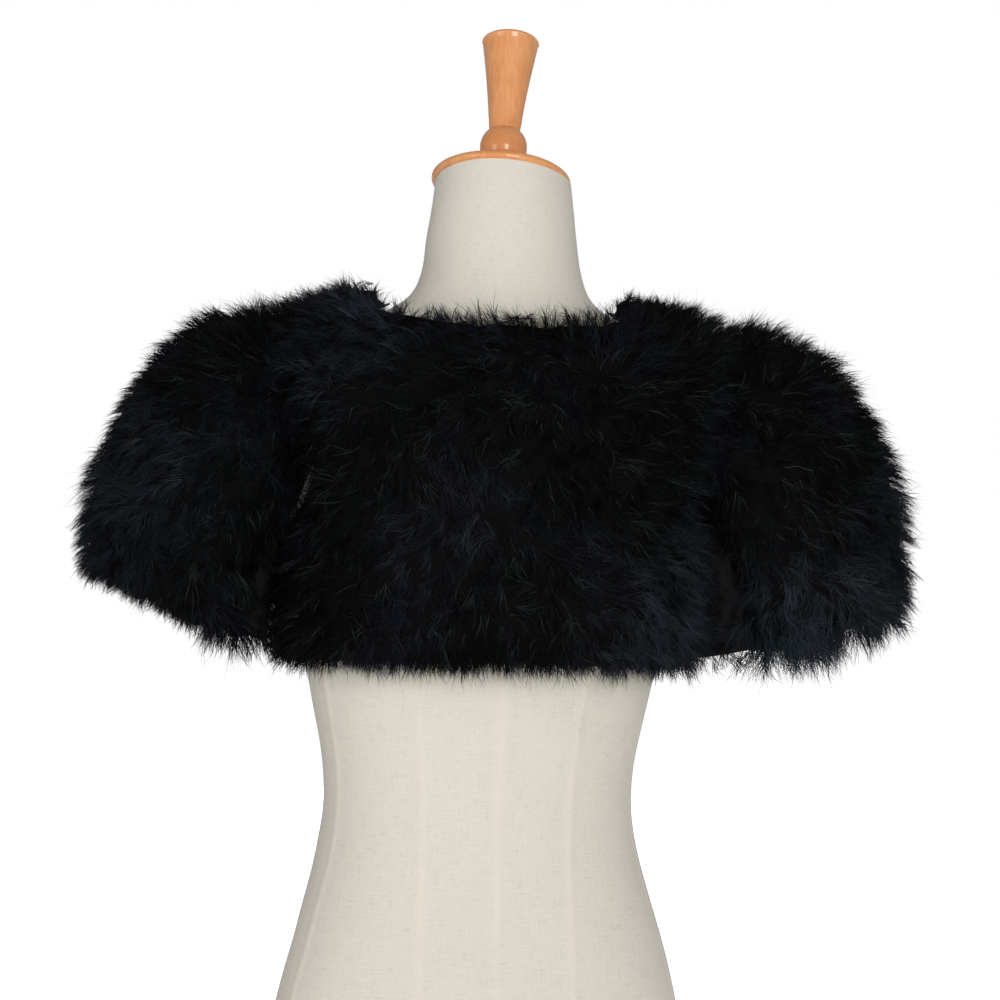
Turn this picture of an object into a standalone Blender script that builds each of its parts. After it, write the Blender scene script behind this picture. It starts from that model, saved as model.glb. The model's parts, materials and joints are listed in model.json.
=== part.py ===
"""A feather-covered bolero shrug on a limbless, linen-covered dress form.

Metres, +Z up. The origin is the middle of the base board's underside. The wearer faces +Y, so the back of the
shrug faces -Y and the wearer's right hand side is at +X. An angle round the body is 0 at the wearer's right
side, a quarter turn at the middle of the front and minus a quarter turn at the middle of the back.
"""
import math

import bmesh
import bpy
import numpy as np
from mathutils import Vector

# ---- Driving sizes -------------------------------------------------------------------------------------------
GAP = 0.0003  # between pieces that touch
SHARP_FROM = math.radians(55)  # an edge bent more than this stays sharp
CLOTH = 0.002  # the base cloth, with the feather strings sewn through it

# The form: height, half width, depth behind and depth in front of the widest line, that line's x and y, and the
# power of the section's curve (2 is an ellipse, and more is squarer).
TORSO = np.array([
    (0.000, 0.1612, 0.0950, 0.0900, 0.0010, -0.0080, 2.30),
    (0.045, 0.1664, 0.0980, 0.0930, 0.0010, -0.0080, 2.30),
    (0.090, 0.1662, 0.0980, 0.0930, 0.0015, -0.0080, 2.30),
    (0.144, 0.1556, 0.0950, 0.0900, 0.0028, -0.0080, 2.30),
    (0.200, 0.1409, 0.0910, 0.0850, 0.0024, -0.0050, 2.25),
    (0.250, 0.1270, 0.0890, 0.0800, 0.0012, -0.0010, 2.20),
    (0.300, 0.1200, 0.0880, 0.0780, 0.0000, 0.0000, 2.20),
    (0.340, 0.1250, 0.0900, 0.0830, 0.0000, -0.0010, 2.20),
    (0.370, 0.1320, 0.0920, 0.0890, 0.0000, -0.0010, 2.20),
    (0.420, 0.1425, 0.0950, 0.1000, 0.0000, -0.0010, 2.25),
    (0.475, 0.1495, 0.0980, 0.1060, 0.0000, -0.0020, 2.30),
    (0.530, 0.1540, 0.0990, 0.1020, 0.0000, -0.0040, 2.30),
    (0.575, 0.1610, 0.0940, 0.0890, 0.0000, -0.0080, 2.30),
    (0.605, 0.1670, 0.0870, 0.0780, 0.0010, -0.0110, 2.25),
    (0.625, 0.1680, 0.0810, 0.0700, 0.0010, -0.0130, 2.20),
    (0.638, 0.1610, 0.0760, 0.0650, 0.0020, -0.0150, 2.15),
    (0.648, 0.1450, 0.0720, 0.0610, 0.0020, -0.0165, 2.10),
    (0.658, 0.1190, 0.0680, 0.0575, 0.0030, -0.0180, 2.05),
    (0.671, 0.0840, 0.0625, 0.0540, 0.0040, -0.0195, 2.00),
    (0.690, 0.0655, 0.0570, 0.0515, 0.0048, -0.0200, 2.00),
    (0.720, 0.0598, 0.0530, 0.0500, 0.0045, -0.0185, 2.00),
    (0.771, 0.0530, 0.0505, 0.0505, 0.0058, -0.0120, 2.00),
])
BUST_HEIGHT, BUST_X, BUST_DEPTH = 0.475, 0.073, 0.017  # the pair of soft fullnesses in front
BUST_WIDE, BUST_TALL = 0.046, 0.052
BUST_FADE = 1.6  # how soon they are whole, going forwards from the widest line
NECK_BEND_FROM = 0.690  # the neck leans over above this height
CAP_PITCH, CAP_ROLL = math.radians(15.5), math.radians(3.5)  # forwards, and towards the wearer's right
TORSO_SIDES = 48
BODY_ROWS, SHOULDER_LINE_ROWS, NECK_ROWS = 22, 12, 6
SHOULDERS_FROM = 0.575  # rows are closer above this height
PROBE, PROBE_ANGLE = 0.0015, 0.012  # how far from a point its surface is felt for its direction

BOARD_THICK, BOARD_INSET, BOARD_EDGE = 0.010, 0.002, 0.0015
CAP_RADIUS, CAP_THICK, CAP_EDGE = 0.0543, 0.0070, 0.0035
BALL_RADIUS, BALL_HEIGHT = 0.0185, 0.0240  # the ball's middle is this far above the cap
COLLAR_RADIUS, COLLAR_HEIGHT, COLLAR_EDGE = 0.0150, 0.0060, 0.0015
WAIST_RADIUS, WAIST_HEIGHT = 0.0123, 0.0375  # where the ball meets the flared grip
GRIP_TOP_RADIUS, GRIP_HEIGHT, GRIP_EDGE, GRIP_DOME = 0.0226, 0.1165, 0.0030, 0.0010
GRIP_CURVE = 0.38  # 0 is a straight cone, and more flares it towards the top
TURNED_STEPS = 32

# The shrug's body
HEM, UNDERARM, SHOULDER_TIP, NECK_SIDE = 0.412, 0.494, 0.642, 0.671  # heights
BACK_NECK_DIP, FRONT_NECK_DROP = 0.023, 0.050
NECK_CURVE = 0.8  # lower is a squarer back neckline
FRONT_FALL_FROM, FRONT_FALL_TO, FALL_POWER = math.radians(30), math.radians(62), 1.3
HEM_ROUND, HEM_ROUND_POWER = 0.024, 6  # how far the front hem's corner rises, and how suddenly
FRONT_EDGE = (0.072, 0.050, 0.064)  # from the middle to the front edge, at the hem, the chest and the shoulder
ARMHOLE_HALF_DEPTH = 0.056
EASE = np.array([  # height, and the room between the form and the cloth
    (0.390, 0.0190), (0.450, 0.0120), (0.500, 0.0065), (0.560, 0.0045), (0.620, 0.0035), (0.680, 0.0030),
])
SIDE_SEAM_ROWS, ARMHOLE_ROWS, SHOULDER_ROWS = 4, 10, 3
BACK_COLUMNS, FRONT_COLUMNS = 18, 8

# The sleeves: each top line is a Bezier curve from the shoulder tip to the cuff, as distances outwards from the
# form's middle and heights. The under line is straight, from the underarm to the cuff's inner point.
SLEEVES = {
    "left": {"side": -1, "over": ((0.230, 0.648), (0.280, 0.592), (0.290, 0.466)), "under": (0.169, 0.413)},
    "right": {"side": 1, "over": ((0.240, 0.655), (0.315, 0.602), (0.318, 0.450)), "under": (0.171, 0.406)},
}
SLEEVE_HALF_DEPTH, SLEEVE_FULLNESS = 0.058, 0.006
SEAM_SHARE = 0.35  # how far down the sleeve its armhole seam still turns its surface
UNDER_SHARE = 0.8  # how much of the armhole's lower half counts as under the arm
SIDEWAYS_SHARE = 0.2  # of the sleeve's outward directions kept there, beside the body
UNDERARM_STAND_OFF = 0.0065  # the sleeve hangs this far off the side of the body at the underarm
SLEEVE_RINGS, SLEEVE_COLUMNS = 10, 2 * ARMHOLE_ROWS

# The feathers
REACH, SLEEVE_REACH, UNDERARM_REACH = 0.029, 0.028, 0.005
BARE_ANGLE, BARE_FADE = math.radians(13), math.radians(30)  # short or none near the side seam, where arms rub
LEAST_BARE_ANGLE = 0.006  # beside every other seam
BARE_RISE, BARE_RISE_FADE = 0.030, 0.045  # how far above the underarm that bare strip stays whole and fades
FEATHERED_COLUMNS = 7  # of the sleeve's, each way from its top line
OUTER_SHARE = 0.85  # how much of its lower half the sleeve's feathers shorten over
EDGE_BAND, EDGE_SHARE, EDGE_POWER = 0.035, 0.55, 1.6  # how the feathers' reach thins towards an edge
HEM_OVERHANG, NECK_OVERHANG, FRONT_OVERHANG = 0.016, 0.008, 0.0128  # how far they pass it
BARE_OVERHANG_SHARE = 0.3

LINEN, WOOD, BOARD = (0.69, 0.66, 0.58), (0.72, 0.33, 0.11), (0.45, 0.31, 0.19)
BLACK_CLOTH, BLACK_FEATHER = (0.006, 0.006, 0.008), (0.010, 0.011, 0.015)


# ---- Small helpers -------------------------------------------------------------------------------------------
def through(stations, values, at):
    """The values at some places, on a smooth curve through the stations."""
    slopes = np.gradient(values, stations)
    i = np.clip(np.searchsorted(stations, at) - 1, 0, len(stations) - 2)
    span = stations[i + 1] - stations[i]
    t = np.clip((at - stations[i]) / span, 0.0, 1.0)
    start, end = values[i], values[i + 1]
    rise, fall = slopes[i] * span, slopes[i + 1] * span
    return (
        start * (1 + 2 * t) * (1 - t) ** 2
        + rise * t * (1 - t) ** 2
        + end * t * t * (3 - 2 * t)
        - fall * t * t * (1 - t)
    )


def ease_in(t):
    """0 below 0, 1 above 1, and a smooth step between."""
    t = np.clip(t, 0.0, 1.0)
    return t * t * (3 - 2 * t)


def unit(vectors):
    return vectors / np.linalg.norm(vectors, axis=-1, keepdims=True)


def material(name, colour, roughness):
    made = bpy.data.materials.new(name)
    made.use_nodes = True
    shader = made.node_tree.nodes["Principled BSDF"]
    shader.inputs["Base Color"].default_value = (*colour, 1.0)
    shader.inputs["Roughness"].default_value = roughness
    shader.inputs["Metallic"].default_value = 0.0
    made.diffuse_color = (*colour, 1.0)
    return made


def add_object(name, mesh, look):
    made = bpy.data.objects.new(name, mesh)
    bpy.data.collections["feather_bolero_shrug"].objects.link(made)
    mesh.materials.append(look)
    return made


def closed_mesh(name, points, faces):
    """A smooth mesh of these faces, all turned outwards."""
    shape = bmesh.new()
    corners = [shape.verts.new(p) for p in points]
    for face in faces:
        shape.faces.new([corners[i] for i in face])
    bmesh.ops.recalc_face_normals(shape, faces=shape.faces)
    mesh = bpy.data.meshes.new(name)
    shape.to_mesh(mesh)
    shape.free()
    mesh.shade_smooth()
    mesh.set_sharp_from_angle(angle=SHARP_FROM)
    return mesh


def loft(name, rings, look):
    """A solid through closed rings of equally many points, with a flat end on the first and the last."""
    count, sides = len(rings), len(rings[0])
    faces = [list(range(sides)), [(count - 1) * sides + k for k in range(sides)]]
    for i in range(count - 1):
        for k in range(sides):
            near, far = i * sides + k, i * sides + (k + 1) % sides
            faces.append([near, far, far + sides, near + sides])
    points = np.concatenate(rings)
    return add_object(name, closed_mesh(name, points, faces), look)


def wall(name, inner, outer, wraps, look):
    """A wall between two matching grids of points (rows, columns, xyz), each quad split the same way in both.
    Its columns meet round a tube if it wraps, and otherwise have closed edges of their own."""
    rows, columns = inner.shape[:2]
    last = columns if wraps else columns - 1
    shift = rows * columns
    faces = []

    def quad(a, b, c, d):
        faces.extend([[a, b, c], [a, c, d]])

    for r in range(rows - 1):
        for c in range(last):
            a, b = r * columns + c, r * columns + (c + 1) % columns
            quad(a, b, b + columns, a + columns)
            quad(a + shift, b + shift, b + columns + shift, a + columns + shift)
    for r in (0, rows - 1):
        for c in range(last):
            a, b = r * columns + c, r * columns + (c + 1) % columns
            quad(a, b, b + shift, a + shift)
    if not wraps:
        for c in (0, columns - 1):
            for r in range(rows - 1):
                a = r * columns + c
                quad(a, a + columns, a + columns + shift, a + shift)
    points = np.concatenate([inner.reshape(-1, 3), outer.reshape(-1, 3)])
    return add_object(name, closed_mesh(name, points, faces), look)


def turned(name, profile, place, axis, look):
    """A turned piece: its profile, radius and height, runs down its outer side from the top, and is spun."""
    mesh = bpy.data.meshes.new(name)
    edges = [(i, i + 1) for i in range(len(profile) - 1)]
    mesh.from_pydata([(radius, 0.0, height) for radius, height in profile], edges, [])
    made = add_object(name, mesh, look)
    spin = made.modifiers.new("Turn", "SCREW")
    spin.steps = spin.render_steps = TURNED_STEPS
    spin.use_merge_vertices = True
    spin.merge_threshold = 0.00005
    spin.use_smooth_shade = True
    made.location = place
    made.rotation_mode = "QUATERNION"
    made.rotation_quaternion = Vector((0, 0, 1)).rotation_difference(axis)
    return made


def arc(middle, radius, start, end, steps):
    """Points (radius, height) round part of a circle, from one angle in degrees above level to another."""
    angles = np.radians(np.linspace(start, end, steps + 1))
    return [(middle[0] + radius * math.cos(a), middle[1] + radius * math.sin(a)) for a in angles]


# ---- The form's skin and the cloth's surface ------------------------------------------------------------------
def torso_point(angle, height):
    """The point of the form's skin at an angle round it and a height, before the neck's lean."""
    angle, height = np.broadcast_arrays(np.asarray(angle, float), np.asarray(height, float))
    half, behind, front, x, y, power = (through(TORSO[:, 0], TORSO[:, k], height) for k in range(1, 7))
    across, along = np.cos(angle), np.sin(angle)
    depth = np.where(along > 0, front, behind)
    px = x + half * np.sign(across) * np.abs(across) ** (2 / power)
    py = y + depth * np.sign(along) * np.abs(along) ** (2 / power)
    swell = np.exp(-(((np.abs(px) - BUST_X) / BUST_WIDE) ** 2) - ((height - BUST_HEIGHT) / BUST_TALL) ** 2)
    py = py + BUST_DEPTH * swell * ease_in(along * BUST_FADE)
    bend = ease_in((height - NECK_BEND_FROM) / (TORSO[-1, 0] - NECK_BEND_FROM))
    lean = (px - x) * math.tan(CAP_ROLL) + (py - y) * math.tan(CAP_PITCH)
    return np.stack([px, py, height - bend * lean], axis=-1)


def torso_normal(angle, height):
    """The skin's outward direction, from points a little way round it and above and below."""
    round_it = torso_point(angle + PROBE_ANGLE, height) - torso_point(angle - PROBE_ANGLE, height)
    up_it = torso_point(angle, height + PROBE) - torso_point(angle, height - PROBE)
    return unit(np.cross(round_it, up_it))


def cloth_surface(angle, height):
    """The cloth's inner face over the form, and the direction out of it."""
    out = torso_normal(angle, height)
    room = through(EASE[:, 0], EASE[:, 1], height)
    return torso_point(angle, height) + out * room[..., None], out


def angle_at_depth(depth, height):
    """How far round from the side the form's section reaches a depth, measured from its widest line. A depth
    behind the line is negative."""
    behind, front, _, _, power = (through(TORSO[:, 0], TORSO[:, k], height) for k in (2, 3, 4, 5, 6))
    share = np.abs(depth) / np.where(depth < 0, behind, front)
    return np.sign(depth) * np.arcsin(np.clip(share, 0, 1) ** (power / 2))


def angle_at_width(width, height):
    """How far round from the side the form's section comes within a width of its middle."""
    half, power = (through(TORSO[:, 0], TORSO[:, k], height) for k in (1, 6))
    return np.arccos(np.clip(width / half, 0, 1) ** (power / 2))


def armhole(turn, behind):
    """Angle from the side and height round the armhole: turn is 0 at its top and pi at the underarm."""
    middle, half = (SHOULDER_TIP + UNDERARM) / 2, (SHOULDER_TIP - UNDERARM) / 2
    height = middle + half * np.cos(turn)
    depth = ARMHOLE_HALF_DEPTH * np.sin(turn) * (-1 if behind else 1)
    return angle_at_depth(depth, height), height


def side_path(behind):
    """Angle from the side and height of each row's end, up the side seam, round the armhole and along the
    shoulder seam to the neck."""
    seam = np.linspace(HEM, UNDERARM, SIDE_SEAM_ROWS + 1)[:-1]
    round_angle, round_height = armhole(np.linspace(math.pi, 0, ARMHOLE_ROWS + 1), behind)
    shoulder = np.linspace(SHOULDER_TIP, NECK_SIDE, SHOULDER_ROWS + 1)[1:]
    angles = np.concatenate([np.zeros(len(seam)), np.abs(round_angle), np.zeros(len(shoulder))])
    return angles, np.concatenate([seam, round_height, shoulder])


# ---- The shrug ------------------------------------------------------------------------------------------------
def near_side_seam(height):
    """1 down the side seam and at the underarm, and 0 above the middle of the armhole."""
    return 1 - ease_in((height - UNDERARM - BARE_RISE) / BARE_RISE_FADE)


def past_edge(distance):
    """1 at an edge, falling to 0 a band's width inside it."""
    return np.clip(1 - distance / EDGE_BAND, 0, 1) ** EDGE_POWER


def feather_wall(name, base, out, reach, beyond, wraps, look):
    """A plain solid of the feathers' reach, made from the cloth's own points moved out. beyond is how far its
    outer face passes the cloth's edges."""
    inner = base + out * (CLOTH + GAP)
    outer = base + out * (CLOTH + GAP + reach)[..., None] + beyond
    return wall(name, inner, outer, wraps, look)


def make_back(cloth, feather):
    side_angle, side_height = side_path(True)
    bare = np.maximum(near_side_seam(side_height) * BARE_ANGLE, LEAST_BARE_ANGLE)
    seam = GAP / 2 / TORSO[-1, 1]
    across = np.linspace(-1, 1, BACK_COLUMNS - 1)
    angles, heights = [], []
    top = SIDE_SEAM_ROWS + ARMHOLE_ROWS
    for r, (angle, height) in enumerate(zip(side_angle, side_height)):
        span = math.pi / 2 - angle - seam
        u = np.concatenate([[-1], across * (1 - bare[r] / span), [1]])
        dip = BACK_NECK_DIP * max(0, r - top) / SHOULDER_ROWS
        angles.append(-math.pi / 2 + u * span)
        heights.append(height - dip * (1 - u * u) ** NECK_CURVE)
    angles, heights = np.array(angles), np.array(heights)
    base, out = cloth_surface(angles, heights)
    wall("back_panel", base, base + out * CLOTH, False, cloth)

    inside = slice(1, -1)
    base, out, heights, angles = base[:, inside], out[:, inside], heights[:, inside], angles[:, inside]
    from_side = math.pi / 2 - np.abs(angles + math.pi / 2)
    low = near_side_seam(heights) * (1 - ease_in((from_side - BARE_ANGLE) / BARE_FADE))
    hem, neck = past_edge(heights - HEM), past_edge(np.linalg.norm(base - base[-1:], axis=-1))
    thin = 1 - (1 - EDGE_SHARE) * np.maximum(hem, neck)
    reach = (REACH + (UNDERARM_REACH - REACH) * low) * thin
    up = unit(np.gradient(base, axis=0))
    past_hem = hem * HEM_OVERHANG * (1 - low * (1 - BARE_OVERHANG_SHARE))
    beyond = up * (neck * NECK_OVERHANG - past_hem)[..., None]
    feather_wall("feathers_back", base, out, reach, beyond, False, feather)


def falls(angle, start):
    """How far a front's row has dropped towards its low point, at an angle from the side."""
    return np.clip((angle - start) / (FRONT_FALL_TO - start), 0, 1) ** FALL_POWER


def make_front(hand, side, cloth, feather):
    side_angle, side_height = side_path(False)
    bare = np.maximum(near_side_seam(side_height) * BARE_ANGLE, LEAST_BARE_ANGLE)
    seam = GAP / 2 / TORSO[-1, 1]
    across = np.linspace(0, 1, FRONT_COLUMNS)
    chest = (HEM + UNDERARM) / 2
    angles, heights = [], []
    for r, (angle, height) in enumerate(zip(side_angle, side_height)):
        drop = FRONT_NECK_DROP * (height - HEM) / (NECK_SIDE - HEM)
        rise = HEM_ROUND * max(0, 1 - (height - HEM) / (UNDERARM - HEM))
        start = FRONT_FALL_FROM * (1 - max(0, height - SHOULDER_TIP) / (NECK_SIDE - SHOULDER_TIP))
        level = height + drop * falls(angle, start)
        edge_height = level - drop + rise
        edge = np.interp(edge_height, [HEM, chest, SHOULDER_TIP], FRONT_EDGE)
        span = angle_at_width(edge, edge_height) - angle - seam
        u = np.concatenate([[0], bare[r] / span + across * (1 - bare[r] / span)])
        row = angle + seam + u * span
        angles.append(row)
        heights.append(level - drop * falls(row, start) / falls(row[-1], start) + rise * u ** HEM_ROUND_POWER)
    angles, heights = np.array(angles), np.array(heights)
    if side < 0:
        angles = math.pi - angles
    base, out = cloth_surface(angles, heights)
    wall("front_" + hand, base, base + out * CLOTH, False, cloth)

    base, out, heights, angles = base[:, 1:], out[:, 1:], heights[:, 1:], angles[:, 1:]
    from_side = angles if side > 0 else math.pi - angles
    low = near_side_seam(heights) * (1 - ease_in((from_side - BARE_ANGLE) / BARE_FADE))
    hem = past_edge(np.linalg.norm(base - base[:1], axis=-1))
    neck = past_edge(np.linalg.norm(base - base[-1:], axis=-1))
    front = past_edge(np.linalg.norm(base - base[:, -1:], axis=-1))
    thin = 1 - (1 - EDGE_SHARE) * np.maximum(np.maximum(hem, neck), front)
    reach = (REACH + (UNDERARM_REACH - REACH) * low) * thin
    up, inward = unit(np.gradient(base, axis=0)), unit(np.gradient(base, axis=1))
    past_hem = hem * HEM_OVERHANG * (1 - low * (1 - BARE_OVERHANG_SHARE))
    beyond = up * (neck * NECK_OVERHANG - past_hem)[..., None]
    beyond = beyond + inward * (front * FRONT_OVERHANG)[..., None]
    feather_wall("feathers_front_" + hand, base, out, reach, beyond, False, feather)


def sleeve_surface(side, over, under):
    """The sleeve's inner face, its outward directions and its directions down the sleeve. Its rings turn from
    the armhole to the cuff, and each ring's columns run from the top, round the back, under and up the front."""
    turn = np.linspace(0, 2 * math.pi, SLEEVE_COLUMNS, endpoint=False)
    angle, height = armhole(turn, True)
    angle = angle if side > 0 else math.pi - angle
    seam, seam_out = cloth_surface(angle, height)
    below = ease_in(-np.cos(turn) / UNDER_SHARE)
    seam = seam + np.outer(GAP + below * UNDERARM_STAND_OFF, (side, 0, 0))

    t = np.linspace(0, 1, SLEEVE_RINGS)[:, None]
    bottom_turn = SLEEVE_COLUMNS // 2
    points = [seam[0]] + [np.array((side * x, seam[0][1], z)) for x, z in over]
    top_line = sum(
        weight * (1 - t) ** (3 - k) * t ** k * point for k, (weight, point) in enumerate(zip((1, 3, 3, 1), points))
    )
    inner_point = np.array((side * under[0], seam[bottom_turn][1], under[1]))
    under_line = seam[bottom_turn] + t * (inner_point - seam[bottom_turn])
    depth = SLEEVE_HALF_DEPTH + SLEEVE_FULLNESS * np.sin(math.pi * t)

    middle, half = (top_line + under_line) / 2, (top_line - under_line) / 2
    rings = middle[:, None] + half[:, None] * np.cos(turn)[None, :, None]
    rings = rings + depth[:, None] * np.sin(turn)[None, :, None] * np.array((0, -1, 0))
    rings = rings + (seam - rings[0])[None] * ((1 - t) ** 2)[:, None]

    round_it = np.roll(rings, -1, axis=1) - np.roll(rings, 1, axis=1)
    down_it = unit(np.gradient(rings, axis=0))
    out = unit(np.cross(round_it, down_it) * side)
    under_out = out[0] * (SIDEWAYS_SHARE, 1, 1)
    start = np.where(below[:, None] > 0.5, under_out, seam_out * (1 - below[:, None]))
    start = unit(start + under_out * below[:, None])
    near = 1 - ease_in(t / SEAM_SHARE)[:, None]
    out = unit(start[None] * near + out * (1 - near))
    return rings, out, down_it, turn


def make_sleeve(hand, side, over, under, cloth, feather):
    base, out, down_it, turn = sleeve_surface(side, over, under)
    wall("sleeve_" + hand, base, base + out * CLOTH, True, cloth)

    picked = np.arange(-FEATHERED_COLUMNS, FEATHERED_COLUMNS + 1) % SLEEVE_COLUMNS
    base, out, down_it, turn = base[:, picked], out[:, picked], down_it[:, picked], turn[picked]
    outer_side = ease_in(1 + np.cos(turn) / OUTER_SHARE)[None]
    cuff = past_edge(np.linalg.norm(base - base[-1:], axis=-1))
    reach = (UNDERARM_REACH + (SLEEVE_REACH - UNDERARM_REACH) * outer_side) * (1 - (1 - EDGE_SHARE) * cuff)
    beyond = down_it * (cuff * HEM_OVERHANG)[..., None]
    feather_wall("feathers_sleeve_" + hand, base, out, reach, beyond, False, feather)


# ---- The dress form -------------------------------------------------------------------------------------------
def make_form():
    linen = material("linen_cover", LINEN, 0.85)
    wood = material("varnished_wood", WOOD, 0.25)
    round_it = np.linspace(0, 2 * math.pi, TORSO_SIDES, endpoint=False)
    neck_top = TORSO[-1, 0]
    heights = np.concatenate([
        np.linspace(BOARD_THICK + GAP, SHOULDERS_FROM, BODY_ROWS),
        np.linspace(SHOULDERS_FROM, NECK_BEND_FROM, SHOULDER_LINE_ROWS + 1)[1:],
        np.linspace(NECK_BEND_FROM, neck_top, NECK_ROWS)[1:],
    ])
    loft("form_torso", [torso_point(round_it, np.full(TORSO_SIDES, h)) for h in heights], linen)

    outline = torso_point(round_it, np.zeros(TORSO_SIDES))
    middle = outline.mean(axis=0)
    inward = unit(middle - outline)
    rings = []
    for height, inset in (
        (0.0, BOARD_INSET + BOARD_EDGE),
        (BOARD_EDGE, BOARD_INSET),
        (BOARD_THICK - BOARD_EDGE, BOARD_INSET),
        (BOARD_THICK, BOARD_INSET + BOARD_EDGE),
    ):
        rings.append(outline + inward * inset + np.array((0, 0, height)))
    loft("form_base_board", rings, material("beech_board", BOARD, 0.6))

    axis = Vector((math.tan(CAP_ROLL), math.tan(CAP_PITCH), 1.0)).normalized()
    neck_middle = Vector((TORSO[-1, 4], TORSO[-1, 5], neck_top))
    edge = CAP_THICK / 2
    rim = CAP_RADIUS - CAP_EDGE
    cap = [(0.0, CAP_THICK), *arc((rim, edge), CAP_EDGE, 90, -90, 6), (0.0, 0.0)]
    turned("form_neck_cap", cap, neck_middle + axis * GAP, axis, wood)

    foot = math.degrees(math.asin((COLLAR_HEIGHT - BALL_HEIGHT) / BALL_RADIUS))
    waist = math.degrees(math.asin((WAIST_HEIGHT - BALL_HEIGHT) / BALL_RADIUS))
    rise, spread = GRIP_HEIGHT - WAIST_HEIGHT, GRIP_TOP_RADIUS - WAIST_RADIUS
    up = np.linspace((rise - GRIP_EDGE) / rise, 0, 6)
    flare = list(zip(WAIST_RADIUS + spread * (up + GRIP_CURVE * (up * up - up)), WAIST_HEIGHT + rise * up))
    top = arc((GRIP_TOP_RADIUS - GRIP_EDGE, GRIP_HEIGHT - GRIP_EDGE), GRIP_EDGE, 90, 10, 4)
    ball = arc((0.0, BALL_HEIGHT), BALL_RADIUS, waist, foot, 9)
    foot_ring = [(COLLAR_RADIUS, COLLAR_HEIGHT - COLLAR_EDGE), (COLLAR_RADIUS, 0.0)]
    handle = [(0.0, GRIP_HEIGHT + GRIP_DOME), *top, *flare, *ball, *foot_ring, (0.0, 0.0)]
    turned("form_handle", handle, neck_middle + axis * (2 * GAP + CAP_THICK), axis, wood)


def main():
    for old in list(bpy.data.objects):
        bpy.data.objects.remove(old, do_unlink=True)
    bpy.context.scene.collection.children.link(bpy.data.collections.new("feather_bolero_shrug"))
    make_form()
    cloth = material("black_base_cloth", BLACK_CLOTH, 0.8)
    feather = material("black_feather", BLACK_FEATHER, 0.7)
    make_back(cloth, feather)
    for hand, sizes in SLEEVES.items():
        make_front(hand, sizes["side"], cloth, feather)
        make_sleeve(hand, sizes["side"], sizes["over"], sizes["under"], cloth, feather)


main()
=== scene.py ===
"""A feather-covered bolero shrug on a limbless, linen-covered dress form.

Metres, +Z up. The wearer faces +Y, so the back of the shrug faces -Y, and the wearer's right hand side is
at +X.
"""
import json
import math

import bpy
import numpy as np
from mathutils import Matrix, Vector
from mathutils.bvhtree import BVHTree


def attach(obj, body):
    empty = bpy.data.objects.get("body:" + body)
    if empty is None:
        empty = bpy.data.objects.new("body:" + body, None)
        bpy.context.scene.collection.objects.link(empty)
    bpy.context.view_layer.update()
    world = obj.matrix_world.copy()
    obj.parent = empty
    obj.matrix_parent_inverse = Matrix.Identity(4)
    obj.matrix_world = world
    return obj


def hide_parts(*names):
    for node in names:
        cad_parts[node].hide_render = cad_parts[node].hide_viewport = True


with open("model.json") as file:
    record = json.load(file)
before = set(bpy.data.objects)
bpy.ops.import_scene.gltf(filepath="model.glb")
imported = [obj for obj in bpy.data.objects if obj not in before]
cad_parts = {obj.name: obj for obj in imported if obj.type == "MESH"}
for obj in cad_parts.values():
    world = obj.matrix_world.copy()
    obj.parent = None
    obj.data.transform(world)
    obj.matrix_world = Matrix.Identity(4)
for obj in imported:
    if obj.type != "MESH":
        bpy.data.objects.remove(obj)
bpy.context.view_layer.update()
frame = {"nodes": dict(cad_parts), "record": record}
nodes = frame["nodes"]
MM = 0.001
DOWN = np.array((0.0, 0.0, -1.0))


# ---- Camera, lights and floor -------------------------------------------------------------------
CAMERA_TURN, CAMERA_TILT = math.radians(-11), math.radians(1.5)
CAMERA_AWAY, CAMERA_LENS = 1.9, 87.55
AIM_HEIGHT, AIM_ASIDE = 0.5266, 0.0117


def place_camera():
    """From behind and a little to the wearer's left, level, and tilted a touch."""
    right = np.array((math.cos(CAMERA_TURN), math.sin(CAMERA_TURN), 0.0))
    ahead = np.array((-math.sin(CAMERA_TURN), math.cos(CAMERA_TURN), 0.0))
    across = math.cos(CAMERA_TILT) * right - math.sin(CAMERA_TILT) * DOWN
    upright = -math.cos(CAMERA_TILT) * DOWN - math.sin(CAMERA_TILT) * right
    place = -AIM_HEIGHT * DOWN + AIM_ASIDE * right - CAMERA_AWAY * ahead
    camera = bpy.data.objects.new("camera", bpy.data.cameras.new("camera"))
    bpy.context.scene.collection.objects.link(camera)
    camera.data.lens = CAMERA_LENS
    columns = np.stack([across, upright, -ahead], axis=1)
    camera.matrix_world = Matrix.Translation(place) @ Matrix(columns.tolist()).to_4x4()
    bpy.context.scene.camera = camera


def soft_box(name, place, aim, width, height, power):
    lamp = bpy.data.lights.new(name, "AREA")
    lamp.shape, lamp.size, lamp.size_y, lamp.energy = "RECTANGLE", width, height, power
    holder = bpy.data.objects.new(name, lamp)
    bpy.context.scene.collection.objects.link(holder)
    holder.location = place
    holder.rotation_euler = (Vector(aim) - Vector(place)).to_track_quat("-Z", "Y").to_euler()


# ---- Colours and materials ----------------------------------------------------------------------
def colour(code, alpha=1.0):
    """An sRGB hex colour as the linear red, green, blue and alpha that the sockets take."""
    parts = [int(code[i:i + 2], 16) / 255 for i in (0, 2, 4)]
    return [p / 12.92 if p <= 0.04045 else ((p + 0.055) / 1.055) ** 2.4 for p in parts] + [alpha]


def add_node(tree, kind, settings=(), inputs=()):
    """Adds a node with its settings and inputs, and links those inputs that are given another's output."""
    node = tree.nodes.new(kind)
    for name, value in dict(settings).items():
        setattr(node, name, value)
    for socket, value in dict(inputs).items():
        if isinstance(value, bpy.types.NodeSocket):
            tree.links.new(value, node.inputs[socket])
        else:
            node.inputs[socket].default_value = value
    return node


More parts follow.
